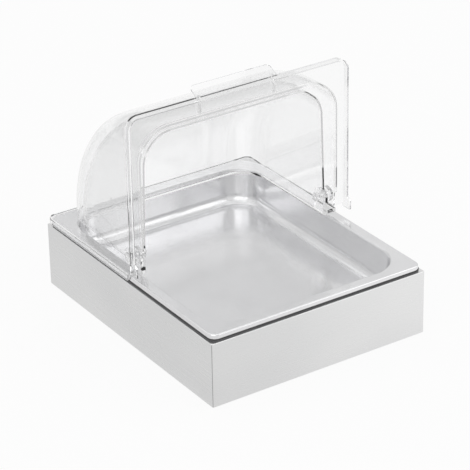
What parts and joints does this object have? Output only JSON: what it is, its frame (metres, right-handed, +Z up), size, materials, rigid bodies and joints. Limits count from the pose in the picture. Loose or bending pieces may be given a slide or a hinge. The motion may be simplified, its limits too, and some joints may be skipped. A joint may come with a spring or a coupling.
{
  "type": "chilled food display",
  "caption": "Low rectangular steel base with a drop-in food pan cooled from below, under a clear quarter-round cover whose front half rolls back over the rear half.",
  "frame": {"origin": "middle of the base at table level, under the feet", "axes": "+X to the right along the front, +Y from the front to the back, +Z up"},
  "size_m": [0.276, 0.3301, 0.278],
  "materials": {
    "satin_steel": "satin stainless sheet",
    "bright_steel": "bright pressed stainless",
    "rubber": "matte",
    "seal": "matte",
    "foam": "closed-cell foam",
    "dark_liner": "fine grain moulded",
    "pack_blue": "blow-moulded",
    "pack_cap": "moulded",
    "clear_plastic": "clear, polished",
    "clear_trim": "clear, polished"
  },
  "bodies": {
    "base": {"housing": "satin_steel", "base_plate": "satin_steel", "base_rivets": "satin_steel", "foot_front_left": "rubber", "foot_front_right": "rubber", "foot_rear_left": "rubber", "foot_rear_right": "rubber", "insulation": "foam", "liner": "dark_liner", "rim_seal": "seal", "cold_pack_front": "pack_blue", "cold_pack_rear": "pack_blue", "pack_cap_front": "pack_cap", "pack_cap_rear": "pack_cap"},
    "pan": {"food_pan": "bright_steel"},
    "rear_lid": {"rear_cover": "clear_plastic", "hinge_pin_left": "clear_trim", "hinge_pin_right": "clear_trim", "hinge_washer_left": "clear_trim", "hinge_washer_right": "clear_trim", "hinge_cap_left": "clear_trim", "hinge_cap_right": "clear_trim"},
    "front_lid": {"front_cover": "clear_plastic"}
  },
  "joints": [
    {"name": "pan_lift", "type": "slide", "parent": "base", "child": "pan", "axis": [0, 0, 1], "range_m": [0, 0.08]},
    {"name": "lid_lift", "type": "slide", "parent": "pan", "child": "rear_lid", "axis": [0, 0, 1], "range_m": [0, 0.1]},
    {"name": "front_cover_hinge", "type": "hinge", "parent": "rear_lid", "child": "front_lid", "pos_m": [0, 0, 0.103], "axis": [1, 0, 0], "range_deg": [0, 90]}
  ]
}
